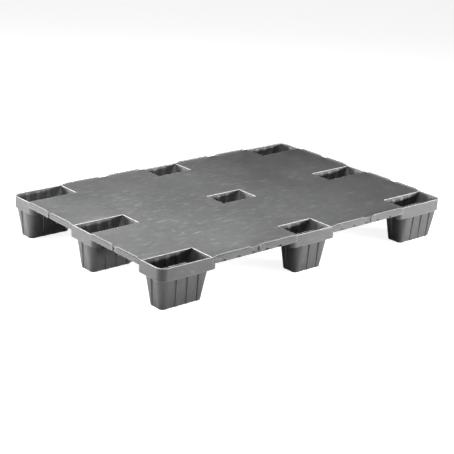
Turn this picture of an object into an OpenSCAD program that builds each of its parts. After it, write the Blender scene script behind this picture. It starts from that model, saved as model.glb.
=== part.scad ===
// Nestable nine-leg plastic pallet with a closed deck.
// The long side runs along X, the short side along Y, Z points up.
// The origin is the middle of the pallet at floor level.
// Nine hollow legs open into the deck, so empty pallets nest in each other.

/* [Pallet] */
// Length over the edge skirts
pallet_len = 1200; // [1000:10:1400]
// Width over the edge skirts
pallet_wid = 800; // [700:10:1200]
// Floor to deck surface
deck_height = 136; // [110:1:170]
// Thickness of the deck plate
deck_thick = 4; // [3:0.5:8]
// Corner radius of the deck outline
corner_radius = 25; // [10:1:40]
// How far the legs and the deck stand back from the skirt faces
leg_setback = 1.5; // [0:0.5:2.5]

/* [Leg mouths] */
// Mouth length of the legs at the two ends
mouth_len = 180; // [120:1:220]
// Mouth length of the middle column of legs
mouth_len_mid = 140; // [100:1:200]
// Mouth width of the two outer rows of legs
mouth_wid = 89.5; // [70:0.5:130]
// Mouth width of the middle row of legs
mouth_wid_mid = 86; // [70:0.5:130]
// Width of the rim between a mouth and the pallet edge
rim_wid = 6; // [5:0.5:12]
// Corner radius of a mouth
mouth_radius = 3; // [1:0.5:8]

/* [Legs] */
// Wall thickness of the cups
wall = 3; // [2:0.5:6]
// Thickness of the sole
sole_thick = 4; // [3:0.5:8]
// Sole length of the legs at the two ends
sole_len = 151; // [90:1:200]
// Sole length of the middle column of legs
sole_len_mid = 115; // [80:1:180]
// Sole width of the two outer rows of legs
sole_wid = 61; // [45:1:100]
// Sole width of the middle row of legs
sole_wid_mid = 67; // [45:1:100]
// How much wider than its mouth a leg is just below the collar
leg_over_wid = 3; // [0:0.5:4]
// Corner radius of a leg just below the collar
leg_radius = 28; // [12:1:36]
// Corner radius of a leg at the sole
sole_radius = 15; // [8:1:24]
// Chamfer around the sole
sole_chamfer = 2.5; // [1:0.5:3]
// Diameter of the drain hole in each sole
drain_dia = 12; // [6:1:20]

/* [Collars] */
// How far a collar hangs below the deck surface
collar_depth = 40; // [30:1:60]
// How far a collar reaches beyond the mouth
collar_reach = 24; // [16:1:32]
// Corner radius of a collar
collar_radius = 20; // [10:1:30]
// Skin thickness of a collar
collar_skin = 3; // [2:0.5:5]
// Thickness of the flange under the deck plate
flange_thick = 3; // [2:0.5:6]
// Thickness of the gussets inside a collar
gusset_thick = 3; // [2:0.5:5]

/* [Pleats] */
// Distance between neighbouring grooves on a leg face
groove_pitch = 40; // [30:1:50]
// Width of a groove at its upper end
groove_wid = 11; // [6:0.5:14]
// Width of a groove at the sole, wider so that the legs nest
groove_wid_low = 28; // [16:0.5:30]
// Depth of a groove
groove_depth = 4; // [2:0.5:6]
// Run of a groove wall for each mm of depth
groove_draft = 0.3; // [0.1:0.05:0.5]
// How far below the collar a groove starts
groove_start = 3; // [1:0.5:10]

/* [Nesting stops] */
// Height of the stop fins in the front cups
fin_height = 20; // [10:1:30]
// Thickness of a stop fin
fin_thick = 2.5; // [2:0.5:4]
// Slot between a stop fin and the rim
fin_slot = 6; // [4:0.5:9]
// Width of a notch between two fins and in the mouth edges
notch_wid = 5; // [3:0.5:8]
// Depth of a notch in a mouth edge
notch_depth = 2.5; // [1:0.5:3]

/* [Edge skirts] */
// Depth of a long skirt below the deck surface
skirt_depth = 21; // [14:1:28]
// Depth of a short skirt below the deck surface
skirt_depth_short = 17; // [14:1:28]
// Thickness of a skirt
skirt_thick = 3; // [3:0.5:5]
// Length over which a skirt end slopes back to the collar face
skirt_ramp = 12; // [4:1:18]
// Height of the raised lip above the deck
lip_height = 4; // [2:0.5:8]
// Width of the raised lip
lip_wid = 6; // [4:0.5:10]
// Length of the sloping end of a lip
lip_ramp = 12; // [4:1:20]
// Distance from a mouth to the start of a lip
lip_start = 10; // [6:1:20]
// Length of the recess near the middle of a long skirt
recess_len = 30; // [16:1:40]
// Length of the recess near the middle of a short skirt
recess_len_short = 14; // [12:1:30]
// Depth of the recesses
recess_depth = 1.5; // [0.5:0.5:2]
// Width of the slot in a recess
slot_wid = 4; // [2:0.5:8]
// Distance from the middle of a long skirt to its slot
slot_shift = 7.5; // [0:0.5:12]
// Distance from the middle of a short skirt to its slot
slot_shift_short = 4.5; // [0:0.5:12]
// Distance from the slot middle to the near end of its recess
slot_inset = 5; // [3:0.5:8]
// Length of a notch in the lower edge of a long skirt
scallop_len = 27; // [16:1:36]
// Height of that notch
scallop_high = 6; // [2:0.5:8]
// Distance from a collar to the first notch
scallop_start = 5; // [2:1:20]
// Number of those notches in one long skirt
scallop_count = 5; // [3:1:5]

/* [Under-deck ribs] */
// Distance between neighbouring ribs
rib_pitch = 55.5; // [40:0.5:80]
// Thickness of a rib
rib_thick = 2.5; // [2:0.5:4]
// Height of a rib
rib_height = 20; // [12:1:26]
// Distance from a long edge to the edge rib
edge_rib_inset = 8; // [7:0.5:14]
// How much deeper the edge rib hangs than the other ribs
edge_rib_drop = 2; // [0:0.5:4]

/* [Hidden] */
$fn = 32;
corner_steps = 5;
pass = 1;
deck_under = deck_height - deck_thick;
collar_low = deck_height - collar_depth;
skirt_low = deck_height - skirt_depth;
skirt_low_short = deck_height - skirt_depth_short;
rib_low = deck_under - rib_height;
half_len = pallet_len / 2;
half_wid = pallet_wid / 2;
face_x = half_len - leg_setback;
face_y = half_wid - leg_setback;
leg_x = half_len - rim_wid - mouth_len / 2;
leg_y = half_wid - rim_wid - mouth_wid / 2;
// Inner faces of the collars, which bound the skirts and the rib fields
collar_in_x = leg_x - mouth_len / 2 - collar_reach;
collar_in_y = leg_y - mouth_wid / 2 - collar_reach;
collar_mid_x = mouth_len_mid / 2 + collar_reach;
collar_mid_y = mouth_wid_mid / 2 + collar_reach;
// A skirt covers the round collar corners, so it ends where a collar is flat
skirt_x0 = collar_mid_x - collar_radius;
skirt_x1 = collar_in_x + collar_radius;
skirt_y0 = collar_mid_y - collar_radius;
skirt_y1 = collar_in_y + collar_radius;
// Radius of a mouth beside the pallet corner, concentric with the deck outline
corner_in = corner_radius - rim_wid + leg_setback;
groove_half = groove_wid / 2;
groove_half_low = groove_wid_low / 2;
// Notch places along a mouth, as parts of its length from the left end
notch_at = [0.15, 0.36, 0.53];

// Points of a rounded rectangle at height z, counter-clockwise.
function ring(hx, hy, r, z) = [
  for (q = [0:3])
    for (k = [0:corner_steps])
      let (
        a = 90 * q + 90 * k / corner_steps,
        sx = (q == 0 || q == 3) ? 1 : -1,
        sy = (q < 2) ? 1 : -1
      )
      [sx * (hx - r) + r * cos(a), sy * (hy - r) + r * sin(a), z]
];

// Side faces between ring number i and the next one, n points in a ring.
function band(i, n) = [
  for (k = [0:n - 1])
    [i * n + k, (i + 1) * n + k, (i + 1) * n + (k + 1) % n, i * n + (k + 1) % n]
];

// Solid through a list of levels [half x, half y, radius, z], lowest first.
module loft(levels) {
  n = 4 * (corner_steps + 1);
  m = len(levels);
  points = [for (l = levels) each ring(l[0], l[1], l[2], l[3])];
  low = [[for (k = [0:n - 1]) k]];
  high = [[for (k = [n - 1:-1:0]) (m - 1) * n + k]];
  sides = [for (i = [0:m - 2]) each band(i, n)];
  polyhedron(points = points, faces = concat(low, high, sides), convexity = 4);
}

// Bar along a sloping face that looks along +Y, from "out" in front of
// the face to "deep" behind it, narrower the deeper it goes.
// Levels are [face y, z, half width at the face], lowest first.
module face_bar(at, levels, out, deep) {
  m = len(levels);
  points = [
    for (l = levels)
      let (
        wide = l[2] + groove_draft * out,
        tip = l[2] - groove_draft * deep
      )
      each [
        [at - wide, l[0] + out, l[1]],
        [at - tip, l[0] - deep, l[1]],
        [at + tip, l[0] - deep, l[1]],
        [at + wide, l[0] + out, l[1]]
      ]
  ];
  low = [[0, 1, 2, 3]];
  high = [[4 * m - 1, 4 * m - 2, 4 * m - 3, 4 * m - 4]];
  sides = [for (i = [0:m - 2]) each band(i, 4)];
  polyhedron(points = points, faces = concat(low, high, sides), convexity = 4);
}

// Upright block with round vertical corners.
module round_block(x0, x1, y0, y1, r, z0, z1) {
  high = z1 - z0;
  translate([x0 + r, y0, z0]) cube([x1 - x0 - 2 * r, y1 - y0, high]);
  translate([x0, y0 + r, z0]) cube([x1 - x0, y1 - y0 - 2 * r, high]);
  for (x = [x0 + r, x1 - r])
    for (y = [y0 + r, y1 - r])
      translate([x, y, z0]) cylinder(r = r, h = high);
}

// Places of the grooves along a face of that length.
function groove_places(face_len) =
  let (count = max(1, floor((face_len - 2 * sole_radius) / groove_pitch)))
  [for (k = [0:count - 1]) (k - (count - 1) / 2) * groove_pitch];

// Bars on all four faces of a leg; fx and fy hold the levels of its faces.
module four_faces(sx, sy, fx, fy) {
  for (side = [0, 180])
    rotate([0, 0, side]) {
      for (at = groove_places(sx)) face_bar(at, fy, pass, groove_depth);
      rotate([0, 0, 90])
        for (at = groove_places(sy)) face_bar(at, fx, pass, groove_depth);
    }
}

// Collar block from the deck plate down, reaching to the pallet edge
// on the sides where ex or ey is not zero.
module collar_block(mx, my, ex, ey, px, py, z0, z1) {
  reach = collar_reach;
  x0 = (ex < 0) ? -face_x - px : -mx / 2 - reach;
  x1 = (ex > 0) ? face_x - px : mx / 2 + reach;
  y0 = (ey < 0) ? -face_y - py : -my / 2 - reach;
  y1 = (ey > 0) ? face_y - py : my / 2 + reach;
  difference() {
    round_block(x0, x1, y0, y1, collar_radius, z0, z1);
    if (ex != 0 && ey != 0)
      corner_trim(ex > 0 ? x1 : x0, ey > 0 ? y1 : y0, ex, ey, z0, z1);
  }
}

// Cuts the pallet corner of a collar to the radius of the deck outline.
module corner_trim(x, y, ex, ey, z0, z1) {
  r = corner_radius;
  if (r > collar_radius)
    difference() {
      translate([x - (ex > 0 ? r : 0), y - (ey > 0 ? r : 0), z0 - pass])
        cube([r, r, z1 - z0 + 2 * pass]);
      translate([x - ex * r, y - ey * r, z0 - 2 * pass])
        cylinder(r = r, h = z1 - z0 + 4 * pass);
    }
}

// What stays at the mouth corner beside a pallet corner: all outside a round
// of radius r that is concentric with the deck outline.
module corner_keep(ex, ey, r, z0, z1) {
  high = z1 - z0;
  if (ex != 0 && ey != 0 && corner_in > mouth_radius)
    translate([ex * (face_x - corner_radius), ey * (face_y - corner_radius), z0])
      mirror([ex < 0 ? 1 : 0, 0, 0])
        mirror([0, ey < 0 ? 1 : 0, 0])
          difference() {
            cube([corner_radius, corner_radius, high]);
            translate([0, 0, -pass]) cylinder(r = r, h = high + 2 * pass);
          }
}

// Hollow under the flange between the collar skin and the cup wall.
module collar_pocket(mx, my, ex, ey) {
  keep = wall + collar_skin;
  out = collar_reach - collar_skin;
  r = collar_radius - collar_skin;
  x0 = (ex < 0) ? -mx / 2 + keep : -mx / 2 - out;
  x1 = (ex > 0) ? mx / 2 - keep : mx / 2 + out;
  y0 = (ey < 0) ? -my / 2 + keep : -my / 2 - out;
  y1 = (ey > 0) ? my / 2 - keep : my / 2 + out;
  difference() {
    round_block(x0, x1, y0, y1, r, collar_low - pass, deck_under - flange_thick);
    loft([
      [mx / 2, my / 2 + leg_over_wid, leg_radius, collar_low - 2 * pass],
      [mx / 2 + wall, my / 2 + wall, mouth_radius + wall, deck_under]
    ]);
    for (at = groove_places(mx))
      translate([at - gusset_thick / 2, -my, collar_low - 2 * pass])
        cube([gusset_thick, 2 * my, collar_depth]);
    for (at = groove_places(my))
      translate([-mx, at - gusset_thick / 2, collar_low - 2 * pass])
        cube([2 * mx, gusset_thick, collar_depth]);
  }
}

// Inside of the cup, with the backs of the grooves standing into it.
module cup_inside(mx, my, sx, sy) {
  tx = mx / 2 - wall;
  ty = my / 2 + leg_over_wid - wall;
  bx = sx / 2 - wall;
  by = sy / 2 - wall;
  low = groove_half_low + wall;
  high = groove_half + wall;
  difference() {
    loft([
      [bx, by, sole_radius - wall, sole_thick],
      [tx, ty, leg_radius - wall, collar_low],
      [mx / 2, my / 2, mouth_radius, deck_under],
      [mx / 2, my / 2, mouth_radius, deck_under + pass]
    ]);
    four_faces(
      sx, sy,
      [[bx, sole_thick, low], [tx, collar_low, high], [mx / 2, deck_under, high]],
      [[by, sole_thick, low], [ty, collar_low, high], [my / 2, deck_under, high]]
    );
  }
}

// Row of slotted stop fins along the front wall of a cup.
module stop_fins(mx, my) {
  front = -my / 2;
  deep = fin_slot + fin_thick;
  low = deck_under - fin_height;
  starts = [0, notch_at[0], notch_at[1]];
  for (i = [0:2]) {
    x0 = -mx / 2 + mx * starts[i] + (i == 0 ? 0 : notch_wid / 2);
    x1 = -mx / 2 + mx * notch_at[i] - notch_wid / 2;
    difference() {
      translate([x0, front - wall / 2, low]) cube([x1 - x0, deep + wall / 2, fin_height]);
      translate([x0 + fin_thick, front, low + fin_thick])
        cube([x1 - x0 - 2 * fin_thick, fin_slot, fin_height]);
    }
  }
}

// One leg at column ex and row ey (each -1, 0 or 1).
module leg(ex, ey) {
  mx = (ex == 0) ? mouth_len_mid : mouth_len;
  my = (ey == 0) ? mouth_wid_mid : mouth_wid;
  sx = (ex == 0) ? sole_len_mid : sole_len;
  sy = (ey == 0) ? sole_wid_mid : sole_wid;
  px = ex * leg_x;
  py = ey * leg_y;
  top_y = my / 2 + leg_over_wid;
  groove_top = collar_low - groove_start;
  difference() {
    translate([px, py, 0]) {
      difference() {
        union() {
          collar_block(mx, my, ex, ey, px, py, collar_low, deck_under);
          loft([
            [sx / 2 - sole_chamfer, sy / 2 - sole_chamfer, sole_radius - sole_chamfer, 0],
            [sx / 2, sy / 2, sole_radius, sole_chamfer],
            [mx / 2, top_y, leg_radius, collar_low]
          ]);
        }
        difference() {
          cup_inside(mx, my, sx, sy);
          translate([-px, -py, 0])
            corner_keep(ex, ey, corner_in, collar_low, deck_height);
        }
        collar_pocket(mx, my, ex, ey);
        four_faces(
          sx, sy,
          [[sx / 2, -pass, groove_half_low], [mx / 2, groove_top, groove_half]],
          [[sy / 2, -pass, groove_half_low], [top_y, groove_top, groove_half]]
        );
        translate([0, 0, -pass]) cylinder(d = drain_dia, h = sole_thick + 2 * pass);
      }
      if (ey < 0)
        difference() {
          stop_fins(mx, my);
          translate([-px, -py, 0])
            corner_keep(ex, ey, corner_in + wall / 2, deck_under - fin_height - pass, deck_height);
        }
    }
    skirt_seats();
  }
}

// Room for the ends of the eight skirts.
module skirt_seats() {
  for (s = [0, 1])
    rotate([0, 0, 180 * s])
      for (t = [0, 1])
        mirror([t, 0, 0]) {
          translate([skirt_x0, -half_wid - pass, skirt_low])
            cube([skirt_x1 - skirt_x0, skirt_thick + pass, skirt_depth + pass]);
          translate([-half_len - pass, skirt_y0, skirt_low_short])
            cube([skirt_thick + pass, skirt_y1 - skirt_y0, skirt_depth_short + pass]);
        }
}

module deck_plate() {
  color("dimgray")
    difference() {
      round_block(-face_x, face_x, -face_y, face_y, corner_radius, deck_under, deck_height);
      for (ex = [-1:1])
        for (ey = [-1:1])
          mouth_cut(ex, ey);
      skirt_seats();
      for (side = [-1, 1])
        for (turn = [0, 180])
          rotate([0, 0, turn]) {
            front_lips(side);
            left_lips(side);
          }
    }
}

// Mouth opening through the deck plate, with its edge notches.
module mouth_cut(ex, ey) {
  mx = (ex == 0) ? mouth_len_mid : mouth_len;
  my = (ey == 0) ? mouth_wid_mid : mouth_wid;
  high = deck_thick + 2 * pass;
  difference() {
    translate([ex * leg_x, ey * leg_y, 0]) {
      round_block(-mx / 2, mx / 2, -my / 2, my / 2, mouth_radius, deck_under - pass, deck_height + pass);
      if (ey >= 0)
        for (part = notch_at)
          translate([mx * (part - 0.5) - notch_wid / 2, -my / 2 - notch_depth, deck_under - pass])
            cube([notch_wid, notch_depth + mouth_radius, high]);
    }
    corner_keep(ex, ey, corner_in, deck_under - 2 * pass, deck_height + 2 * pass);
  }
}

// Skirt along X from x0 to x1, outer face at y = edge, lower end at low.
// The slot stands at slot_at and its recess reaches from gap0 to gap1.
module skirt(x0, x1, edge, low, gap0, gap1, slot_at) {
  high = deck_height - low;
  back = edge + leg_setback;
  inner = edge + skirt_thick;
  difference() {
    translate([0, 0, low])
      linear_extrude(height = high)
        polygon([
          [x0, back],
          [x0 + skirt_ramp, edge],
          [x1 - skirt_ramp, edge],
          [x1, back],
          [x1, inner],
          [x0, inner]
        ]);
    translate([gap0, edge - pass, low - pass])
      cube([gap1 - gap0, recess_depth + pass, high + 2 * pass]);
    translate([slot_at - slot_wid / 2, edge - pass, low + skirt_thick])
      cube([slot_wid, skirt_thick + 2 * pass, high - 2 * skirt_thick]);
  }
}

// Row of notches for the lower edge of a long skirt, starting at x0.
module scallops(x0) {
  for (k = [0:scallop_count - 1])
    translate([x0 + k * rib_pitch, -half_wid - pass, skirt_low - pass])
      cube([scallop_len, skirt_thick + 2 * pass, scallop_high + pass]);
}

// Raised lip with a slope at each end, set into the edge of the deck plate.
module lip(x0, x1, edge) {
  translate([0, edge + lip_wid, deck_height])
    rotate([90, 0, 0])
      linear_extrude(height = lip_wid)
        polygon([
          [x0, -deck_thick],
          [x1, -deck_thick],
          [x1, 0],
          [x1 - lip_ramp, lip_height],
          [x0 + lip_ramp, lip_height],
          [x0, 0]
        ]);
}

lip_long0 = mouth_len_mid / 2 + lip_start;
lip_long1 = leg_x - mouth_len / 2 - lip_start;
lip_short0 = mouth_wid_mid / 2 + lip_start;
lip_short1 = leg_y - mouth_wid / 2 - lip_start;

// Place of the slot along a skirt, before the short one is turned into place.
function long_slot(side) = side * (skirt_x0 + skirt_x1) / 2 + slot_shift;
function short_slot(side) = -side * (skirt_y0 + skirt_y1) / 2 - slot_shift_short;

// Ends of the recess around that slot.
function long_gap(side) = [long_slot(side) + slot_inset - recess_len, long_slot(side) + slot_inset];
function short_gap(side) = [short_slot(side) - slot_inset, short_slot(side) - slot_inset + recess_len_short];

// Both lips of the long skirt at the front, on the right (1) or left (-1) half.
module front_lips(side) {
  gap = long_gap(side);
  lip((side > 0) ? lip_long0 : -lip_long1, gap[0], -half_wid);
  lip(gap[1], (side > 0) ? lip_long1 : -lip_long0, -half_wid);
}

// Both lips of the short skirt at the left, on the back (1) or front (-1) half.
module left_lips(side) {
  gap = short_gap(side);
  rotate([0, 0, -90]) {
    lip((side > 0) ? -lip_short1 : lip_short0, gap[0], -half_len);
    lip(gap[1], (side > 0) ? -lip_short0 : lip_short1, -half_len);
  }
}

module front_skirt(side) {
  x0 = (side > 0) ? skirt_x0 : -skirt_x1;
  x1 = (side > 0) ? skirt_x1 : -skirt_x0;
  gap = long_gap(side);
  difference() {
    skirt(x0, x1, -half_wid, skirt_low, gap[0], gap[1], long_slot(side));
    scallops(x0 + collar_radius + scallop_start);
  }
  front_lips(side);
}

module left_skirt(side) {
  x0 = (side > 0) ? -skirt_y1 : skirt_y0;
  x1 = (side > 0) ? -skirt_y0 : skirt_y1;
  gap = short_gap(side);
  rotate([0, 0, -90])
    skirt(x0, x1, -half_len, skirt_low_short, gap[0], gap[1], short_slot(side));
  left_lips(side);
}

// Ribs of the under-deck lattice inside one rectangle.
module rib_field(x0, x1, y0, y1) {
  nx = ceil(half_len / rib_pitch);
  ny = ceil(half_wid / rib_pitch);
  for (i = [-nx:nx]) {
    x = (i + 0.5) * rib_pitch;
    if (x - rib_thick > x0 && x + rib_thick < x1)
      translate([x - rib_thick / 2, y0, rib_low]) cube([rib_thick, y1 - y0, rib_height]);
  }
  for (j = [-ny:ny]) {
    y = (j + 0.5) * rib_pitch;
    if (y - rib_thick > y0 && y + rib_thick < y1)
      translate([x0, y - rib_thick / 2, rib_low]) cube([x1 - x0, rib_thick, rib_height]);
  }
}

// Rib field behind the right half of the front skirt, with its edge rib.
module front_ribs() {
  rib_field(collar_mid_x, collar_in_x, -half_wid + skirt_thick, -collar_in_y);
  translate([collar_mid_x, -half_wid + edge_rib_inset, rib_low - edge_rib_drop])
    cube([collar_in_x - collar_mid_x, rib_thick, rib_height + edge_rib_drop]);
}

module left_ribs() {
  rib_field(-half_len + skirt_thick, -collar_in_x, collar_mid_y, collar_in_y);
}

module middle_ribs() {
  rib_field(collar_mid_x, collar_in_x, -collar_mid_y, collar_mid_y);
}

module centre_ribs() {
  rib_field(-collar_mid_x, collar_mid_x, collar_mid_y, collar_in_y);
}

module bay_ribs() {
  rib_field(collar_mid_x, collar_in_x, collar_mid_y, collar_in_y);
}

module leg_front_left() { color("gray") leg(-1, -1); }
module leg_front_middle() { color("gray") leg(0, -1); }
module leg_front_right() { color("gray") leg(1, -1); }
module leg_middle_left() { color("gray") leg(-1, 0); }
module leg_centre() { color("gray") leg(0, 0); }
module leg_middle_right() { color("gray") leg(1, 0); }
module leg_back_left() { color("gray") leg(-1, 1); }
module leg_back_middle() { color("gray") leg(0, 1); }
module leg_back_right() { color("gray") leg(1, 1); }

module skirt_front_left() { color("slategray") front_skirt(-1); }
module skirt_front_right() { color("slategray") front_skirt(1); }
module skirt_back_left() { color("slategray") rotate([0, 0, 180]) front_skirt(1); }
module skirt_back_right() { color("slategray") rotate([0, 0, 180]) front_skirt(-1); }
module skirt_left_front() { color("slategray") left_skirt(-1); }
module skirt_left_back() { color("slategray") left_skirt(1); }
module skirt_right_front() { color("slategray") rotate([0, 0, 180]) left_skirt(1); }
module skirt_right_back() { color("slategray") rotate([0, 0, 180]) left_skirt(-1); }

module ribs_front_left() { color("darkgray") mirror([1, 0, 0]) front_ribs(); }
module ribs_front_right() { color("darkgray") front_ribs(); }
module ribs_back_left() { color("darkgray") rotate([0, 0, 180]) front_ribs(); }
module ribs_back_right() { color("darkgray") mirror([0, 1, 0]) front_ribs(); }
module ribs_left_front() { color("darkgray") mirror([0, 1, 0]) left_ribs(); }
module ribs_left_back() { color("darkgray") left_ribs(); }
module ribs_right_front() { color("darkgray") rotate([0, 0, 180]) left_ribs(); }
module ribs_right_back() { color("darkgray") mirror([1, 0, 0]) left_ribs(); }
module ribs_middle_left() { color("darkgray") mirror([1, 0, 0]) middle_ribs(); }
module ribs_middle_right() { color("darkgray") middle_ribs(); }
module ribs_centre_front() { color("darkgray") mirror([0, 1, 0]) centre_ribs(); }
module ribs_centre_back() { color("darkgray") centre_ribs(); }
module bay_front_left() { color("silver") rotate([0, 0, 180]) bay_ribs(); }
module bay_front_right() { color("silver") mirror([0, 1, 0]) bay_ribs(); }
module bay_back_left() { color("silver") mirror([1, 0, 0]) bay_ribs(); }
module bay_back_right() { color("silver") bay_ribs(); }

deck_plate();
leg_front_left();
leg_front_middle();
leg_front_right();
leg_middle_left();
leg_centre();
leg_middle_right();
leg_back_left();
leg_back_middle();
leg_back_right();
skirt_front_left();
skirt_front_right();
skirt_back_left();
skirt_back_right();
skirt_left_front();
skirt_left_back();
skirt_right_front();
skirt_right_back();
ribs_front_left();
ribs_front_right();
ribs_back_left();
ribs_back_right();
ribs_left_front();
ribs_left_back();
ribs_right_front();
ribs_right_back();
ribs_middle_left();
ribs_middle_right();
ribs_centre_front();
ribs_centre_back();
bay_front_left();
bay_front_right();
bay_back_left();
bay_back_right();
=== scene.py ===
"""Looks of the nestable nine-leg plastic pallet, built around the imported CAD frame.

Everything is in metres. The origin is the middle of the footprint on the floor,
X runs along the long side, Y to the back and Z up. The deck, the nine legs and the
eight edge skirts are rebuilt here with rounded edges. The ribs under the deck are
the CAD nodes with a bevel.
"""

import math

import bmesh
import bpy
from mathutils import Matrix, Vector


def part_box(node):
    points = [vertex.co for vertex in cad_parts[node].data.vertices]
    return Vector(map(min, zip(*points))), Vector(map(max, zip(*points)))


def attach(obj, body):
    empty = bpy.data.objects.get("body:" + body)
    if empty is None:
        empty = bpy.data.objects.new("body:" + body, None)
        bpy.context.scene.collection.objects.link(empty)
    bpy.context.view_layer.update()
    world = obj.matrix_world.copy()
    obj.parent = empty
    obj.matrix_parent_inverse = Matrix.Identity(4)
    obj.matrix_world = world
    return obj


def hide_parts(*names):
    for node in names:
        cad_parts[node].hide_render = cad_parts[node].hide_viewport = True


MM = 0.001

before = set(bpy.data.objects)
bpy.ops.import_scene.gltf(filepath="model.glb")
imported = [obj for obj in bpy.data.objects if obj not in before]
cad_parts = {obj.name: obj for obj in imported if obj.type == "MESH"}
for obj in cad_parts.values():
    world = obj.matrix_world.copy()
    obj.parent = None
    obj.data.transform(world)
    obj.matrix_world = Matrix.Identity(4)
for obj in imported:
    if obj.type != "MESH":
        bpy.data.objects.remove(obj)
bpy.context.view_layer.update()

# Sizes that the frame gives
DECK_LOW, DECK_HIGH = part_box("deck_plate")
FACE_X, FACE_Y = DECK_HIGH.x, DECK_HIGH.y
DECK_UNDER, DECK_TOP = DECK_LOW.z, DECK_HIGH.z
SKIRT_LOW, SKIRT_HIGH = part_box("skirt_front_right")
SHORT_LOW, SHORT_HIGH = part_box("skirt_left_back")
EDGE_X, EDGE_Y = -SHORT_LOW.x, -SKIRT_LOW.y
LIP_TOP = SKIRT_HIGH.z
COLLAR_LOW = DECK_TOP - 40 * MM

# Leg mouths and soles, with 1 for an end column or outer row and 0 for the middle one
MOUTH_LEN = {1: 180 * MM, 0: 140 * MM}
MOUTH_WID = {1: 89.5 * MM, 0: 86 * MM}
SOLE_LEN = {1: 151 * MM, 0: 115 * MM}
SOLE_WID = {1: 61 * MM, 0: 67 * MM}
RIM = 6 * MM
LEG_X = EDGE_X - RIM - MOUTH_LEN[1] / 2
LEG_Y = EDGE_Y - RIM - MOUTH_WID[1] / 2
OUTLINE_RADIUS = 25 * MM
CORNER_IN = OUTLINE_RADIUS - RIM + EDGE_X - FACE_X
MOUTH_RADIUS = 3 * MM
WALL = 3 * MM
SOLE_THICK = 4 * MM
SOLE_ROUND = 2.5 * MM
FLOOR_ROUND = 2 * MM
LEG_OVER = 3 * MM
LEG_RADIUS = 28 * MM
SOLE_RADIUS = 15 * MM
DRAIN_RADIUS = 6 * MM
DRAIN_STEPS = 32

# Collars
COLLAR_REACH = 24 * MM
COLLAR_RADIUS = 20 * MM
COLLAR_SKIN = 3 * MM
FLANGE = 3 * MM
GUSSET = 3 * MM
# Where a collar ends inside the cup wall at the pallet edge, low and high
CUP_TUCK_X = (-1.5 * MM, 1.5 * MM)
CUP_TUCK_Y = (1.2 * MM, 1.5 * MM)
# How far parts of a leg reach into the skin beside them
TUCK = 1.5 * MM
# Gaps below the underside of the deck, of the collar and of the cup's outer skin
COLLAR_GAP = 0.02 * MM
CUP_GAP = 0.5 * MM
FLANGE_LAP = 0.4 * MM
FLANGE_TUCK = 1 * MM
GUSSET_DROP = 0.5 * MM

# Grooves, wider at the sole
GROOVE_PITCH = 40 * MM
GROOVE_TOP_HALF = 5.5 * MM
GROOVE_SOLE_HALF = 14 * MM
GROOVE_DEPTH = 4 * MM
# Share of the depth that is left at the sole
SOLE_GROOVE = 0.3
GROOVE_RUN = 1.2 * MM
GROOVE_SOFT = 0.8 * MM
GROOVE_KEEP = 0.1 * MM
GROOVE_END = COLLAR_LOW - 3 * MM
# How a groove section goes from the face to its bottom, as shares of the depth
GROOVE_SHARES = (0.0, 0.12, 0.5, 0.88, 1.0)
# How grooves and their backs run out: distance below the end, share of the depth
GROOVE_FADE = ((2.6 * MM, 1.0), (1.8 * MM, 0.97), (0.9 * MM, 0.75), (0.3 * MM, 0.3), (0.0, 0.0))
RIDGE_FADE = ((30 * MM, 0.95), (20 * MM, 0.65), (10 * MM, 0.25), (3 * MM, 0.0), (0.0, 0.0))

# Nesting stops and mouth notches
FIN_HEIGHT = 20 * MM
FIN_THICK = 2.5 * MM
FIN_SLOT = 6 * MM
FIN_DROP = 0.8 * MM
# Where the first fin and its floor start in the rounded corner at the left
CORNER_FIN = 2.5 * MM
CORNER_FLOOR = 12 * MM
FIN_TUCK = 1 * MM
NOTCH_WID = 5 * MM
NOTCH_DEPTH = 2.5 * MM
NOTCH_AT = (0.15, 0.36, 0.53)

# Skirts
SKIRT_THICK = 3 * MM
SKIRT_RAMP = 12 * MM
SKIRT_BEHIND = 1.2 * MM
SKIRT_DROP = 0.05 * MM
LIP_WID = 6 * MM
LIP_RAMP = 12 * MM
LIP_START = 10 * MM
LIP_TUCK = 1 * MM
RECESS_LEN = {"long": 30 * MM, "short": 14 * MM}
SLOT_SHIFT = {"long": 7.5 * MM, "short": -4.5 * MM}
SLOT_WID = 4 * MM
SLOT_INSET = 5 * MM
RECESS_DEPTH = 1.55 * MM
RECESS_LAP = 1 * MM
RECESS_KEEP = 0.2 * MM
SCALLOP_LEN = 27 * MM
SCALLOP_HIGH = 6 * MM
SCALLOP_START = 5 * MM
SCALLOP_PITCH = 55.5 * MM
SCALLOP_COUNT = 5

# Rounding of the moulded edges
EDGE_ROUND = 1.0 * MM
MOUTH_ROUND = 1.6 * MM
SMALL_ROUND = 0.6 * MM
RIB_WELD = 0.02 * MM
RIB_BEVEL = 0.4 * MM
RIB_BEVEL_ANGLE = math.radians(40)
# Band beside each round that carries the lighter edge mark, partly wear and partly painted edge
# highlight
WEAR_AND_HIGHLIGHT_BAND = 0.5 * MM
ARC_STEPS = 8
ROUND_STEPS = 3
SMOOTH_ANGLE = math.radians(38)
# Full share of the lighter edge mark on the rounds: partly wear, partly painted edge highlight
WEAR_AND_HIGHLIGHT_FULL = 1.0
MIN_MITRE = 0.35
SEAM = 0.002 * MM

# Camera, as the reference view has it
CAM_PLACE = Vector((-2.57046, -2.91035, 1.41396))
CAM_AZIMUTH = math.radians(41.308)
CAM_ELEVATION = math.radians(19.663)
CAM_ROLL = math.radians(2.972)
CAM_LENS = 97.43
CAM_SENSOR = 36.0


# ---------------------------------------------------------------- outlines

QUARTER = math.pi / 2
CORNERS = ((1, 1), (-1, 1), (-1, -1), (1, -1))


def arc(centre, radius, start, steps=ARC_STEPS):
    """Quarter circle from angle start, counter-clockwise, as points."""
    turns = [start + QUARTER * k / steps for k in range(steps + 1)]
    x, y = centre
    return [Vector((x + radius * math.cos(a), y + radius * math.sin(a))) for a in turns]


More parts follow.
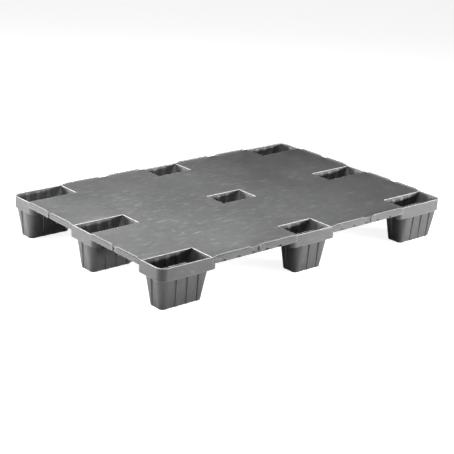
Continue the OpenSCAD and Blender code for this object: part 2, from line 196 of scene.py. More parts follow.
def rounded_box(x0, x1, y0, y1, radii):
    """Rounded rectangle with four corner radii, counter-clockwise from the corner at +X and +Y."""
    outline = []
    for quarter, (sx, sy) in enumerate(CORNERS):
        radius = radii[quarter]
        x = x1 if sx > 0 else x0
        y = y1 if sy > 0 else y0
        outline += arc((x - sx * radius, y - sy * radius), radius, quarter * QUARTER)
    return outline


def corner_radii(ex, ey, plain, at_pallet_corner):
    """Four corner radii, where the corner beside the pallet corner has its own."""
    return [at_pallet_corner if (ex, ey) == sign else plain for sign in CORNERS]


def groove_places(face_len):
    """Places of the grooves along a face, measured from its middle."""
    count = max(1, int((face_len - 2 * SOLE_RADIUS) / GROOVE_PITCH))
    return [(k - (count - 1) / 2) * GROOVE_PITCH for k in range(count)]


def groove_points(half, depth):
    """Offsets along a face and depths of one groove section, softened at its corners."""
    steps = (
        half + GROOVE_SOFT,
        half,
        half - GROOVE_RUN / 2,
        half - GROOVE_RUN,
        half - GROOVE_RUN - GROOVE_SOFT,
    )
    side = [(along, share * depth) for along, share in zip(steps, GROOVE_SHARES)]
    return [(-along, deep) for along, deep in side] + side[::-1]


def fluted(half_x, half_y, radii, sole_len, sole_wid, half, depth):
    """Rounded rectangle around the origin with grooves of that half width and depth.

    radii holds the corner radii, counter-clockwise from the corner at +X and +Y.
    """
    outline = []
    sides = (
        (1, 1, Vector((-1, 0)), sole_len, half_x, half_y),
        (-1, 1, Vector((0, -1)), sole_wid, half_y, half_x),
        (-1, -1, Vector((1, 0)), sole_len, half_x, half_y),
        (1, -1, Vector((0, 1)), sole_wid, half_y, half_x),
    )
    for quarter, (sx, sy, along, length, reach, distance) in enumerate(sides):
        radius = radii[quarter]
        centre = (sx * (half_x - radius), sy * (half_y - radius))
        outline += arc(centre, radius, quarter * QUARTER)
        inward = Vector((-along.y, along.x))
        places = groove_places(length)
        straight = reach - max(radius, radii[(quarter + 1) % 4])
        room = straight - max(places) - GROOVE_SOFT - GROOVE_KEEP
        for place in places:
            for offset, deep in groove_points(min(half, room), depth):
                outline.append(along * (place + offset) + inward * (deep - distance))
    return outline


def inset(outline, distance):
    """The outline moved inwards by distance, with mitred corners."""
    moved = []
    count = len(outline)
    for k, point in enumerate(outline):
        before = (point - outline[k - 1]).normalized()
        after = (outline[(k + 1) % count] - point).normalized()
        first = Vector((-before.y, before.x))
        second = Vector((-after.y, after.x))
        share = max(MIN_MITRE, 1 + first.dot(second))
        moved.append(point + (first + second) * (distance / share))
    return moved


# ---------------------------------------------------------------- mesh building


class Shell:
    """A mesh under construction, made of rings of points that are bridged and filled."""

    def __init__(self, name, turn=None):
        self.name = name
        self.turn = turn or Matrix.Identity(4)
        self.mesh = bmesh.new()
        # Share of the lighter edge band per point: partly wear, partly painted edge highlight
        self.wear_and_highlight = self.mesh.verts.layers.float.new("wear_and_highlight")

    def ring(self, outline, z, shift=(0.0, 0.0)):
        return [self.mesh.verts.new((p.x + shift[0], p.y + shift[1], z)) for p in outline]

    def bridge(self, low, high):
        count = len(low)
        for k in range(count):
            after = (k + 1) % count
            self.mesh.faces.new((low[k], low[after], high[after], high[k]))

    def loft(self, rings):
        for low, high in zip(rings, rings[1:]):
            self.bridge(low, high)

    def fill(self, *rings):
        """Flat face with the first ring as its edge and the other rings as holes."""
        edges = []
        for ring in rings:
            for k, vert in enumerate(ring):
                other = ring[(k + 1) % len(ring)]
                edges.append(self.mesh.edges.get((vert, other)) or self.mesh.edges.new((vert, other)))
        bmesh.ops.triangle_fill(self.mesh, use_beauty=True, edges=edges)

    def wear_and_highlight_ring(self, outline, z, wear_and_highlight_share, shift=(0.0, 0.0)):
        """Ring of points that carries a share of the lighter edge mark, partly wear and partly painted
        edge highlight.
        """
        ring = self.ring(outline, z, shift)
        for vert in ring:
            vert[self.wear_and_highlight] = wear_and_highlight_share
        return ring

    def slab(self, outline, holes, low, high, round_low=0, round_high=0, place=None, round_hole=None):
        """Upright slab between two heights with rounded edges. place moves its points at the end."""
        before = set(self.mesh.verts)
        tops, bottoms = [], []
        for shape, sign in [(outline, 1)] + [(hole, -1) for hole in holes]:
            rounding = round_high if sign > 0 or round_hole is None else round_hole
            rings = []
            for z, shrink, wear_and_highlight_share in slab_levels(low, high, round_low, rounding):
                rings.append(self.wear_and_highlight_ring(inset(shape, sign * shrink), z, wear_and_highlight_share))
            self.loft(rings)
            bottoms.append(rings[0])
            tops.append(rings[-1])
        self.fill(*tops)
        self.fill(*bottoms)
        if place:
            for vert in self.mesh.verts:
                if vert not in before:
                    vert.co = place(vert.co)

    def finish(self, node, material):
        mesh = self.mesh
        bmesh.ops.remove_doubles(mesh, verts=mesh.verts, dist=SEAM)
        bmesh.ops.recalc_face_normals(mesh, faces=mesh.faces)
        bmesh.ops.transform(mesh, matrix=self.turn, verts=mesh.verts)
        data = bpy.data.meshes.new(self.name)
        mesh.to_mesh(data)
        mesh.free()
        data.materials.append(material)
        data.shade_smooth()
        data.set_sharp_from_angle(angle=SMOOTH_ANGLE)
        piece = bpy.data.objects.new(self.name, data)
        bpy.context.scene.collection.objects.link(piece)
        weighted = piece.modifiers.new("flat_faces", "WEIGHTED_NORMAL")
        weighted.keep_sharp = True
        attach(piece, "root")
        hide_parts(node)
        return piece


def quarter_steps():
    """Sine and cosine along the quarter circle of a rounded edge."""
    angles = [QUARTER * k / ROUND_STEPS for k in range(ROUND_STEPS + 1)]
    return [(math.sin(a), math.cos(a)) for a in angles]


def slab_levels(low, high, round_low, round_high):
    """Heights, insets and shares of the lighter edge mark (partly wear, partly painted edge highlight)
    of the rings of a slab, lowest first.
    """
    levels = []
    if round_low:
        levels.append((low, round_low + WEAR_AND_HIGHLIGHT_BAND, 0.0))
        for sine, cosine in quarter_steps():
            levels.append((low + round_low * (1 - cosine), round_low * (1 - sine), WEAR_AND_HIGHLIGHT_FULL))
        levels.append((low + round_low + WEAR_AND_HIGHLIGHT_BAND / 2, 0.0, 0.0))
    else:
        levels.append((low, 0.0, 0.0))
    if round_high:
        levels.append((high - round_high - WEAR_AND_HIGHLIGHT_BAND / 2, 0.0, 0.0))
        for sine, cosine in quarter_steps():
            levels.append((high - round_high * (1 - sine), round_high * (1 - cosine), WEAR_AND_HIGHLIGHT_FULL))
        levels.append((high, round_high + WEAR_AND_HIGHLIGHT_BAND, 0.0))
    else:
        levels.append((high, 0.0, 0.0))
    return levels


# ---------------------------------------------------------------- pieces


def mouth_outline(ex, ey):
    """Outline of a mouth in the deck, with its edge notches in the middle and back rows."""
    half_x = MOUTH_LEN[abs(ex)] / 2
    half_y = MOUTH_WID[abs(ey)] / 2
    radii = corner_radii(ex, ey, MOUTH_RADIUS, CORNER_IN)
    outline = rounded_box(-half_x, half_x, -half_y, half_y, radii)
    if ey >= 0:
        notches = []
        for share in NOTCH_AT:
            x = (share - 0.5) * 2 * half_x
            x0, x1 = x - NOTCH_WID / 2, x + NOTCH_WID / 2
            deep = -half_y - NOTCH_DEPTH
            notches += [Vector(p) for p in ((x0, -half_y), (x0, deep), (x1, deep), (x1, -half_y))]
        front_side = 3 * (ARC_STEPS + 1)
        outline[front_side:front_side] = notches
    centre = Vector((ex * LEG_X, ey * LEG_Y))
    return [point + centre for point in outline]


def make_deck(material):
    shell = Shell("deck_panel")
    outline = rounded_box(-FACE_X, FACE_X, -FACE_Y, FACE_Y, [OUTLINE_RADIUS] * 4)
    mouths = [mouth_outline(ex, ey) for ex in (-1, 0, 1) for ey in (-1, 0, 1)]
    shell.slab(outline, mouths, DECK_UNDER, DECK_TOP, 0, EDGE_ROUND, None, MOUTH_ROUND)
    return shell.finish("deck_plate", material)


def blend(low, high, share):
    return low + (high - low) * share


class LegShape:
    """Sizes of the leg in column ex and row ey at any height."""

    def __init__(self, ex, ey):
        self.column, self.row = ex, ey
        self.mouth = (MOUTH_LEN[abs(ex)] / 2, MOUTH_WID[abs(ey)] / 2)
        self.sole = (SOLE_LEN[abs(ex)] / 2, SOLE_WID[abs(ey)] / 2)
        self.top = (self.mouth[0], self.mouth[1] + LEG_OVER)

    def skin(self, z, low, wall, shrink, depth, extra):
        """Outline at height z of a skin that starts at low and lies wall inside the outer faces."""
        share = (z - low) / (COLLAR_LOW - low)
        half_x = blend(self.sole[0], self.top[0], share) - wall - shrink
        half_y = blend(self.sole[1], self.top[1], share) - wall - shrink
        radii = [blend(SOLE_RADIUS, LEG_RADIUS, share) - wall - shrink] * 4
        if z > COLLAR_LOW:
            share = (z - COLLAR_LOW) / (DECK_UNDER - COLLAR_LOW)
            half_x = blend(self.top[0], self.mouth[0] + WALL, share) - wall
            half_y = blend(self.top[1], self.mouth[1] + WALL, share) - wall
            ends = corner_radii(self.column, self.row, MOUTH_RADIUS + WALL, CORNER_IN + WALL)
            radii = [blend(LEG_RADIUS, end, share) - wall for end in ends]
        half = blend(GROOVE_SOLE_HALF, GROOVE_TOP_HALF, min(1.0, z / GROOVE_END)) + extra
        return fluted(half_x, half_y, radii, 2 * self.sole[0], 2 * self.sole[1], half, depth)

    def outer(self, z, shrink=0.0, depth=GROOVE_DEPTH):
        return self.skin(z, SOLE_ROUND, 0.0, shrink, depth, 0.0)

    def inner(self, z, shrink=0.0, depth=GROOVE_DEPTH):
        return self.skin(z, SOLE_THICK, WALL, shrink, depth, WALL)


def add_cup(shell, shape, at):
    """Closed cup: outer skin with grooves, sole with its drain, inner skin with their backs."""
    outer, inner = [], []
    for sine, cosine in quarter_steps():
        shrink, z = SOLE_ROUND * (1 - sine), SOLE_ROUND * (1 - cosine)
        outer.append(shell.ring(shape.outer(z, shrink, GROOVE_DEPTH * SOLE_GROOVE), z, at))
    for drop, share in GROOVE_FADE:
        z = GROOVE_END - drop
        outer.append(shell.ring(shape.outer(z, depth=GROOVE_DEPTH * share), z, at))
    for z in (COLLAR_LOW, DECK_UNDER - CUP_GAP):
        outer.append(shell.ring(shape.outer(z, depth=0.0), z, at))
    for sine, cosine in quarter_steps():
        shrink, z = FLOOR_ROUND * (1 - sine), SOLE_THICK + FLOOR_ROUND * (1 - cosine)
        inner.append(shell.ring(shape.inner(z, shrink), z, at))
    inner.append(shell.ring(shape.inner(COLLAR_LOW), COLLAR_LOW, at))
    for drop, share in RIDGE_FADE:
        z = DECK_UNDER - drop
        inner.append(shell.ring(shape.inner(z, depth=GROOVE_DEPTH * share), z, at))
    shell.loft(outer)
    shell.loft(inner)
    shell.bridge(outer[-1], inner[-1])
    angles = [math.tau * k / DRAIN_STEPS for k in range(DRAIN_STEPS)]
    circle = [Vector((DRAIN_RADIUS * math.cos(a), DRAIN_RADIUS * math.sin(a))) for a in angles]
    drain_low = shell.ring(circle, 0.0, at)
    drain_high = shell.ring(circle, SOLE_THICK, at)
    shell.bridge(drain_low, drain_high)
    shell.fill(outer[0], drain_low)
    shell.fill(inner[0], drain_high)


def collar_sides(shape, ex, ey, reach, edge):
    """A collar's sides from the leg centre: edge at the pallet edge, reach past the mouth elsewhere."""
    half_x, half_y = shape.mouth
    return (
        -edge[0] if ex < 0 else -half_x - reach,
        edge[0] if ex > 0 else half_x + reach,
        -edge[1] if ey < 0 else -half_y - reach,
        edge[1] if ey > 0 else half_y + reach,
    )


def collar_ring(sides, ex, ey, plain, at_pallet_corner):
    """Rounded outline with those sides and its own round at the pallet corner."""
    return rounded_box(*sides, corner_radii(ex, ey, plain, at_pallet_corner))


def add_collar(shell, shape, ex, ey, at):
    """Skin around the leg head, the flange over it and the gussets inside."""
    half_x, half_y = shape.mouth
    face = (FACE_X - LEG_X, FACE_Y - LEG_Y)
    sides = collar_sides(shape, ex, ey, COLLAR_REACH, face)
    outside = collar_ring(sides, ex, ey, COLLAR_RADIUS, OUTLINE_RADIUS)

    def inner(share):
        """Inner outline: inside the cup wall at the pallet edge, behind the skin elsewhere."""
        cup = (half_x + blend(*CUP_TUCK_X, share), half_y + blend(*CUP_TUCK_Y, share))
        inner_sides = collar_sides(shape, ex, ey, COLLAR_REACH - COLLAR_SKIN, cup)
        return collar_ring(inner_sides, ex, ey, COLLAR_RADIUS - COLLAR_SKIN, CORNER_IN + TUCK)

    top = DECK_UNDER - COLLAR_GAP
    levels = slab_levels(COLLAR_LOW, top, SMALL_ROUND, 0)[1:]
    rings = [shell.wear_and_highlight_ring(inset(outside, shrink), z, wear_and_highlight_share, at) for z, shrink, wear_and_highlight_share in levels]
    low = shell.ring(inner(0.0), COLLAR_LOW, at)
    high = shell.ring(inner(1.0), top, at)
    shell.loft(rings)
    shell.bridge(low, high)
    shell.fill(rings[0], low)
    shell.fill(rings[-1], high)
    add_flange(shell, shape, ex, ey, inset(inner(1.0), -FLANGE_LAP), at, top)
    add_gussets(shell, shape, ex, ey, at)


def add_flange(shell, shape, ex, ey, outline, at, top):
    """Plate under the deck between the cup and the collar skin."""
    half_x, half_y = shape.mouth[0] + FLANGE_TUCK, shape.mouth[1] + FLANGE_TUCK
    sides = (-half_x, half_x, -half_y, half_y)
    hole = collar_ring(sides, ex, ey, MOUTH_RADIUS, CORNER_IN + FLANGE_TUCK)
    low = top - FLANGE
    outer_low, outer_high = shell.ring(outline, low, at), shell.ring(outline, top, at)
    hole_low, hole_high = shell.ring(hole, low, at), shell.ring(hole, top, at)
    shell.bridge(outer_low, outer_high)
    shell.bridge(hole_low, hole_high)
    shell.fill(outer_low, hole_low)
    shell.fill(outer_high, hole_high)


def add_box(shell, x0, x1, y0, y1, z0, z1, at, rounding=0):
    """Block between those sides, shifted to the leg centre, with a rounded upper edge."""
    corners = [Vector((x1, y1)), Vector((x0, y1)), Vector((x0, y0)), Vector((x1, y0))]
    moved = [point + Vector(at) for point in corners]
    shell.slab(moved, [], z0, z1, 0, rounding)


def add_gussets(shell, shape, ex, ey, at):
    """Upright webs between the cup wall and the collar skin, one behind each groove."""
    half_x, half_y = shape.mouth
    z0, z1 = COLLAR_LOW + GUSSET_DROP, DECK_UNDER - FLANGE / 2
    start, stop = TUCK, COLLAR_REACH - TUCK
    for side in (-1, 1):
        if ey != side:
            for place in groove_places(2 * shape.sole[0]):
                y0, y1 = sorted((side * (half_y + start), side * (half_y + stop)))
                add_box(shell, place - GUSSET / 2, place + GUSSET / 2, y0, y1, z0, z1, at)
        if ex != side:
            for place in groove_places(2 * shape.sole[1]):
                x0, x1 = sorted((side * (half_x + start - WALL), side * (half_x + stop)))
                add_box(shell, x0, x1, place - GUSSET / 2, place + GUSSET / 2, z0, z1, at)


def add_fins(shell, shape, at):
    """Slotted stop fins along the front wall of the cup, behind the rim."""
    half_x, half_y = shape.mouth
    z0 = DECK_UNDER - FIN_HEIGHT
    z1 = DECK_TOP - FIN_DROP
    starts = (0.0,) + NOTCH_AT[:2]
    front = -half_y - FIN_TUCK
    slot_end = -half_y + FIN_SLOT
    for number, (first, last) in enumerate(zip(starts, NOTCH_AT)):
        x0 = -half_x + 2 * half_x * first + (NOTCH_WID / 2 if number else -FIN_TUCK)
        x1 = -half_x + 2 * half_x * last - NOTCH_WID / 2
        in_corner = number == 0 and shape.column < 0
        if in_corner:
            x0 = -half_x + CORNER_FIN
        add_box(shell, x0, x1, slot_end, slot_end + FIN_THICK, z0, z1, at, SMALL_ROUND)
        add_box(shell, x1 - FIN_THICK, x1, front, slot_end + FIN_THICK / 2, z0, DECK_UNDER, at)
        if in_corner:
            x0 = -half_x + CORNER_FLOOR
        else:
            add_box(shell, x0, x0 + FIN_THICK, front, slot_end + FIN_THICK / 2, z0, DECK_UNDER, at)
        add_box(shell, x0, x1, front, slot_end + FIN_THICK / 2, z0, z0 + FIN_THICK, at)


def make_leg(node, ex, ey, material):
    shape = LegShape(ex, ey)
    shell = Shell(node.replace("leg", "cup"))
    at = (ex * LEG_X, ey * LEG_Y)
    add_cup(shell, shape, at)
    add_collar(shell, shape, ex, ey, at)
    if ey < 0:
        add_fins(shell, shape, at)
    return shell.finish(node, material)


def make_skirt(node, kind, span, low, edge, lips, slot_at, notches, turn, material):
    """One skirt along local X with its outer face at y = -edge, turned to its side."""
    shell = Shell(node.replace("skirt", "edge"), turn)
    setback = edge - (FACE_Y if kind == "long" else FACE_X)
    top = DECK_TOP - SKIRT_DROP
    gap = (slot_at - SLOT_INSET, slot_at - SLOT_INSET + RECESS_LEN["short"])
    if kind == "long":
        gap = (slot_at + SLOT_INSET - RECESS_LEN["long"], slot_at + SLOT_INSET)

    def upright(co):
        """Stands a flat slab up, with its ends sloping back to the collar faces."""
        back = 0.0
        if co.z > SKIRT_THICK - SKIRT_BEHIND:
            ends = min(co.x - span[0], span[1] - co.x)
            back = setback * max(0.0, 1 - ends / SKIRT_RAMP)
        return Vector((co.x, -edge + SKIRT_THICK - co.z + back, co.y))

    def upright_lip(co):
        return Vector((co.x, -edge + LIP_WID - co.z, co.y))

    for x0, x1 in ((span[0], gap[0]), (gap[1], span[1])):
        inside = [n for n in notches if x0 < n and n + SCALLOP_LEN < x1]
        ramps = [x for x in (span[0] + SKIRT_RAMP, span[1] - SKIRT_RAMP) if x0 < x < x1]
        outline = skirt_outline(x0, x1, low, top, inside, ramps)
        shell.slab(outline, [], 0.0, SKIRT_THICK, 0, SMALL_ROUND, upright)
    cut = [n for n in notches if n + SCALLOP_LEN > gap[0] and n < gap[1]]
    recess = skirt_outline(gap[0] - RECESS_LAP, gap[1] + RECESS_LAP, low, top, cut, [])
    x0, x1 = slot_at - SLOT_WID / 2, slot_at + SLOT_WID / 2
    z0, z1 = low + SKIRT_THICK, top - SKIRT_THICK
    slot = [Vector(p) for p in ((x0, z0), (x1, z0), (x1, z1), (x0, z1))]
    shell.slab(recess, [slot], 0.0, SKIRT_THICK - RECESS_DEPTH, 0, 0, upright)
    for x0, x1 in ((lips[0], gap[0]), (gap[1], lips[1])):
        low_end = DECK_TOP - LIP_TUCK
        slope = ((x1, DECK_TOP), (x1 - LIP_RAMP, LIP_TOP), (x0 + LIP_RAMP, LIP_TOP), (x0, DECK_TOP))
        lip = [Vector(p) for p in ((x0, low_end), (x1, low_end)) + slope]
        shell.slab(lip, [], 0.0, LIP_WID, SMALL_ROUND, SMALL_ROUND, upright_lip)
    return shell.finish(node, material)


def skirt_outline(x0, x1, low, high, notches, ramps):
    """Front view of a part of a skirt, with notches below and points where its ramps begin."""
    lower = [(x, low) for x in ramps]
    for start in notches:
        a = max(start, x0 + RECESS_KEEP)
        b = min(start + SCALLOP_LEN, x1 - RECESS_KEEP)
        lower += [(a, low), (a, low + SCALLOP_HIGH), (b, low + SCALLOP_HIGH), (b, low)]
    lower = sorted(lower, key=lambda point: point[0])
    upper = [(x, high) for x in sorted(ramps, reverse=True)]
    points = [(x0, low)] + lower + [(x1, low), (x1, high)] + upper + [(x0, high)]
    return [Vector(point) for point in points]


# ---------------------------------------------------------------- looks

# Dark grey moulded polyethylene in two close tones, and the lighter tone of scratches and of rounded
# edges; on the edges it is partly rubbed wear and partly a painted edge highlight
PLASTIC = (0.030, 0.0305, 0.031)
PLASTIC_LIGHT = (0.046, 0.0465, 0.047)
PLASTIC_WORN_AND_HIGHLIGHT = (0.20, 0.20, 0.198)
PLASTIC_IOR = 1.5
GRAIN_DEPTH = 0.2 * MM
GRAIN = 0.10

# Noise scales, per metre
CLOUD_SCALE = 5.0
MOTTLE_SCALE = 60.0
FINE_SCALE = 900.0
SCRATCH_SCALE = 26.0
SCRATCH_STRETCH = (1.0, 9.0, 3.0)


def make_camera():
    forward = Vector(
        (
            math.sin(CAM_AZIMUTH) * math.cos(CAM_ELEVATION),
            math.cos(CAM_AZIMUTH) * math.cos(CAM_ELEVATION),
            -math.sin(CAM_ELEVATION),
        )
    )
    level = Vector((math.cos(CAM_AZIMUTH), -math.sin(CAM_AZIMUTH), 0.0))
    upright = level.cross(forward)
    right = level * math.cos(CAM_ROLL) + upright * math.sin(CAM_ROLL)
    up = upright * math.cos(CAM_ROLL) - level * math.sin(CAM_ROLL)
    turn = Matrix((right, up, -forward)).transposed()
    data = bpy.data.cameras.new("camera")
    data.lens = CAM_LENS
    data.sensor_width = CAM_SENSOR
    data.clip_end = 60.0
    camera = bpy.data.objects.new("camera", data)
    camera.matrix_world = Matrix.Translation(CAM_PLACE) @ turn.to_4x4()
    bpy.context.scene.collection.objects.link(camera)
    bpy.context.scene.camera = camera


def noise(tree, source, scale, detail, stretch=(1.0, 1.0, 1.0)):
    mapping = tree.nodes.new("ShaderNodeMapping")
    mapping.inputs["Scale"].default_value = stretch
    tree.links.new(source, mapping.inputs["Vector"])
    texture = tree.nodes.new("ShaderNodeTexNoise")
    texture.inputs["Scale"].default_value = scale
    texture.inputs["Detail"].default_value = detail
    tree.links.new(mapping.outputs["Vector"], texture.inputs["Vector"])
    return texture.outputs["Fac"]


def spread(tree, source, low, high, to_low, to_high):
    """Maps low..high of the source to to_low..to_high, clamped."""
    node = tree.nodes.new("ShaderNodeMapRange")
    node.inputs["From Min"].default_value = low
    node.inputs["From Max"].default_value = high
    node.inputs["To Min"].default_value = to_low
    node.inputs["To Max"].default_value = to_high
    tree.links.new(source, node.inputs["Value"])
    return node.outputs["Result"]


def mixed(tree, share, first, second):
    """Colour between first and second; either may be a colour or a socket."""
    node = tree.nodes.new("ShaderNodeMix")
    node.data_type = "RGBA"
    tree.links.new(share, node.inputs["Factor"])
    for value, name in ((first, "A"), (second, "B")):
        socket = [s for s in node.inputs if s.name == name and s.type == "RGBA"][0]
        if isinstance(value, tuple):
            socket.default_value = (*value, 1.0)
        else:
            tree.links.new(value, socket)
    return [s for s in node.outputs if s.type == "RGBA"][0]


def maths(tree, operation, first, second):
    node = tree.nodes.new("ShaderNodeMath")
    node.operation = operation
    for number, value in enumerate((first, second)):
        if isinstance(value, float):
            node.inputs[number].default_value = value
        else:
            tree.links.new(value, node.inputs[number])
    return node.outputs["Value"]


def plastic(name, roughness, scuffs):
    """Moulded plastic: cloudy tone, fine grain, scuffs, and a lighter band on the rounded edges that is
    partly rubbed wear and partly a painted edge highlight.
    """
    material = bpy.data.materials.new(name)
    material.use_nodes = True
    tree = material.node_tree
    shader = tree.nodes["Principled BSDF"]
    shader.inputs["IOR"].default_value = PLASTIC_IOR
    place = tree.nodes.new("ShaderNodeTexCoord").outputs["Object"]
    clouds = noise(tree, place, CLOUD_SCALE, 3.0)
    mottle = noise(tree, place, MOTTLE_SCALE, 4.0)
    fine = noise(tree, place, FINE_SCALE, 2.0)
    scratch = noise(tree, place, SCRATCH_SCALE, 5.0, SCRATCH_STRETCH)
    cloud_tone = spread(tree, clouds, 0.3, 0.7, 0.0, 0.7)
    mottle_tone = spread(tree, mottle, 0.35, 0.65, 0.0, 0.3)
    tone = maths(tree, "ADD", cloud_tone, mottle_tone)
    colour = mixed(tree, tone, PLASTIC, PLASTIC_LIGHT)
    marks = spread(tree, scratch, 0.6, 0.72, 0.0, scuffs)
    colour = mixed(tree, marks, colour, PLASTIC_WORN_AND_HIGHLIGHT)
    # Lighter band on every rounded edge, in patches: partly rubbed wear, partly painted edge highlight
    wear_and_highlight = tree.nodes.new("ShaderNodeAttribute")
    wear_and_highlight.attribute_name = "wear_and_highlight"
    patches = spread(tree, mottle, 0.3, 0.6, 0.65, 1.0)
    rubbed_and_highlight = maths(tree, "MULTIPLY", wear_and_highlight.outputs["Fac"], patches)
    colour = mixed(tree, rubbed_and_highlight, colour, PLASTIC_WORN_AND_HIGHLIGHT)
    tree.links.new(colour, shader.inputs["Base Color"])
    rough = spread(tree, clouds, 0.3, 0.7, roughness - 0.04, roughness + 0.05)
    rough = maths(tree, "ADD", rough, spread(tree, scratch, 0.55, 0.75, 0.0, 0.08))
    tree.links.new(rough, shader.inputs["Roughness"])
    bump = tree.nodes.new("ShaderNodeBump")
    bump.inputs["Strength"].default_value = GRAIN
    bump.inputs["Distance"].default_value = GRAIN_DEPTH
    height = maths(tree, "ADD", fine, maths(tree, "MULTIPLY", mottle, 1.5))
    tree.links.new(height, bump.inputs["Height"])
    tree.links.new(bump.outputs["Normal"], shader.inputs["Normal"])
    return material


def area_light(name, place, aim, size, strength):
    data = bpy.data.lights.new(name, "AREA")
    data.shape = "RECTANGLE"
    data.size, data.size_y = size
    data.energy = strength
    light = bpy.data.objects.new(name, data)
    direction = Vector(aim) - Vector(place)
    turn = direction.to_track_quat("-Z", "Y").to_matrix().to_4x4()
    light.matrix_world = Matrix.Translation(place) @ turn
    bpy.context.scene.collection.objects.link(light)
    return light


FLOOR_HALF = 30.0
FLOOR_TONE = 0.5
FLOOR_GLOW = 0.88


def make_floor():
    """Plain pale paper that the camera sees nearly white."""
    half = FLOOR_HALF
    mesh = bpy.data.meshes.new("floor")
    corners = [(-half, -half, 0), (half, -half, 0), (half, half, 0), (-half, half, 0)]
    mesh.from_pydata(corners, [], [(0, 1, 2, 3)])
    floor = bpy.data.objects.new("floor", mesh)
    bpy.context.scene.collection.objects.link(floor)
    material = bpy.data.materials.new("floor_paper")
    material.use_nodes = True
    tree = material.node_tree
    shader = tree.nodes["Principled BSDF"]
    shader.inputs["Base Color"].default_value = (FLOOR_TONE, FLOOR_TONE, FLOOR_TONE, 1.0)
    shader.inputs["Roughness"].default_value = 0.9
    glow = tree.nodes.new("ShaderNodeEmission")
    glow.inputs["Strength"].default_value = FLOOR_GLOW
    seen = tree.nodes.new("ShaderNodeLightPath")
    both = tree.nodes.new("ShaderNodeAddShader")
    chosen = tree.nodes.new("ShaderNodeMixShader")
    tree.links.new(shader.outputs["BSDF"], both.inputs[0])
    tree.links.new(glow.outputs["Emission"], both.inputs[1])
    tree.links.new(seen.outputs["Is Camera Ray"], chosen.inputs[0])
    tree.links.new(shader.outputs["BSDF"], chosen.inputs[1])
    tree.links.new(both.outputs["Shader"], chosen.inputs[2])
    tree.links.new(chosen.outputs["Shader"], tree.nodes["Material Output"].inputs["Surface"])
    mesh.materials.append(material)


def make_world(strength):
    world = bpy.data.worlds.new("studio")
    world.use_nodes = True
    background = world.node_tree.nodes["Background"]
    background.inputs["Color"].default_value = (1.0, 1.0, 1.0, 1.0)
    background.inputs["Strength"].default_value = strength
    bpy.context.scene.world = world


make_camera()
make_floor()
make_world(0.0)
scene = bpy.context.scene
scene.view_settings.view_transform = "Standard"

# Roughness and strength of the scuffs
deck_finish = plastic("pallet_deck", 0.40, 0.35)
leg_finish = plastic("pallet_leg", 0.40, 0.15)
skirt_finish = plastic("pallet_skirt", 0.40, 0.25)
rib_finish = plastic("pallet_rib", 0.45, 0.1)

make_deck(deck_finish)
ROWS = {"front": -1, "middle": 0, "back": 1}
COLUMNS = {"left": -1, "middle": 0, "right": 1}
for row, ey in ROWS.items():
    for column, ex in COLUMNS.items():
        name = "leg_centre" if ex == ey == 0 else f"leg_{row}_{column}"
        make_leg(name, ex, ey, leg_finish)

# Each skirt as the front or the left one has it, turned half round for the others
HALF_TURN = Matrix.Rotation(math.pi, 4, "Z")
LEFT_TURN = Matrix.Rotation(-math.pi / 2, 4, "Z")
LONG_X0, LONG_X1 = SKIRT_LOW.x, SKIRT_HIGH.x
SHORT_Y0, SHORT_Y1 = SHORT_LOW.y, SHORT_HIGH.y
LIP_LONG = (MOUTH_LEN[0] / 2 + LIP_START, LEG_X - MOUTH_LEN[1] / 2 - LIP_START)
LIP_SHORT = (MOUTH_WID[0] / 2 + LIP_START, LEG_Y - MOUTH_WID[1] / 2 - LIP_START)
LONG_SKIRTS = (
    ("skirt_front_right", 1, None),
    ("skirt_front_left", -1, None),
    ("skirt_back_left", 1, HALF_TURN),
    ("skirt_back_right", -1, HALF_TURN),
)
SHORT_SKIRTS = (
    ("skirt_left_back", 1, LEFT_TURN),
    ("skirt_left_front", -1, LEFT_TURN),
    ("skirt_right_front", 1, HALF_TURN @ LEFT_TURN),
    ("skirt_right_back", -1, HALF_TURN @ LEFT_TURN),
)
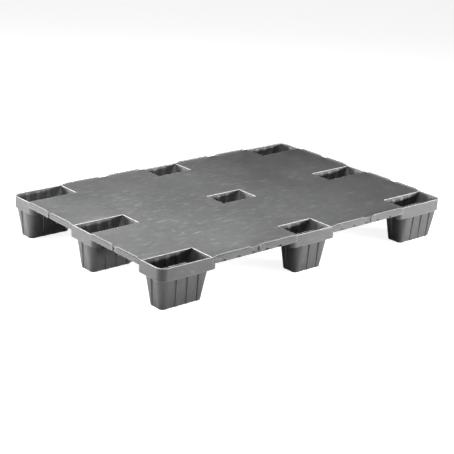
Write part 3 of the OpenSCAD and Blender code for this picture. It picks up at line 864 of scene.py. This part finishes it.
for name, side, turn in LONG_SKIRTS:
    span = (LONG_X0, LONG_X1) if side > 0 else (-LONG_X1, -LONG_X0)
    lips = LIP_LONG if side > 0 else (-LIP_LONG[1], -LIP_LONG[0])
    slot_at = side * (LONG_X0 + LONG_X1) / 2 + SLOT_SHIFT["long"]
    first = span[0] + COLLAR_RADIUS + SCALLOP_START
    notches = [first + k * SCALLOP_PITCH for k in range(SCALLOP_COUNT)]
    make_skirt(name, "long", span, SKIRT_LOW.z, EDGE_Y, lips, slot_at, notches, turn, skirt_finish)
for name, side, turn in SHORT_SKIRTS:
    span = (-SHORT_Y1, -SHORT_Y0) if side > 0 else (SHORT_Y0, SHORT_Y1)
    lips = (-LIP_SHORT[1], -LIP_SHORT[0]) if side > 0 else LIP_SHORT
    slot_at = -side * (SHORT_Y0 + SHORT_Y1) / 2 + SLOT_SHIFT["short"]
    make_skirt(name, "short", span, SHORT_LOW.z, EDGE_X, lips, slot_at, [], turn, skirt_finish)

for name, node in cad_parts.items():
    if name.startswith(("ribs", "bay")):
        node.data.materials.clear()
        node.data.materials.append(rib_finish)
        weld = node.modifiers.new("weld", "WELD")
        weld.merge_threshold = RIB_WELD
        bevel = node.modifiers.new("edge", "BEVEL")
        bevel.width = RIB_BEVEL
        bevel.segments = 2
        bevel.limit_method = "ANGLE"
        bevel.angle_limit = RIB_BEVEL_ANGLE

# Name, place, aim, size in metres and power in watts
LIGHTS = [
    ("left_low", (-2.4, 1.7, 0.42), (0, 0, 0.1), (1.8, 0.2), 150.0),
    ("left_mid", (-2.4, 1.7, 0.8), (0, 0, 0.1), (1.8, 0.6), 64.0),
    ("right_low", (1.8, -2.2, 0.42), (0.1, -0.3, 0.1), (1.8, 0.2), 200.0),
    ("right_mid", (1.8, -2.4, 0.8), (0, 0, 0.1), (1.8, 0.6), 3.0),
    ("front_right", (0.6, -2.9, 0.45), (0.3, -0.3, 0.1), (1.2, 0.2), 28.0),
    ("over_left", (-0.6, 0.1, 1.1), (-0.6, 0.1, 0.1), (0.8, 0.8), 46.5),
    ("over_front", (0.05, -0.4, 1.1), (0.05, -0.4, 0.1), (0.8, 0.8), 12.5),
    ("back_high", (1.7, 2.0, 1.7), (0, 0, 0.1), (2.4, 1.0), 7.0),
]
for light in LIGHTS:
    area_light(*light)
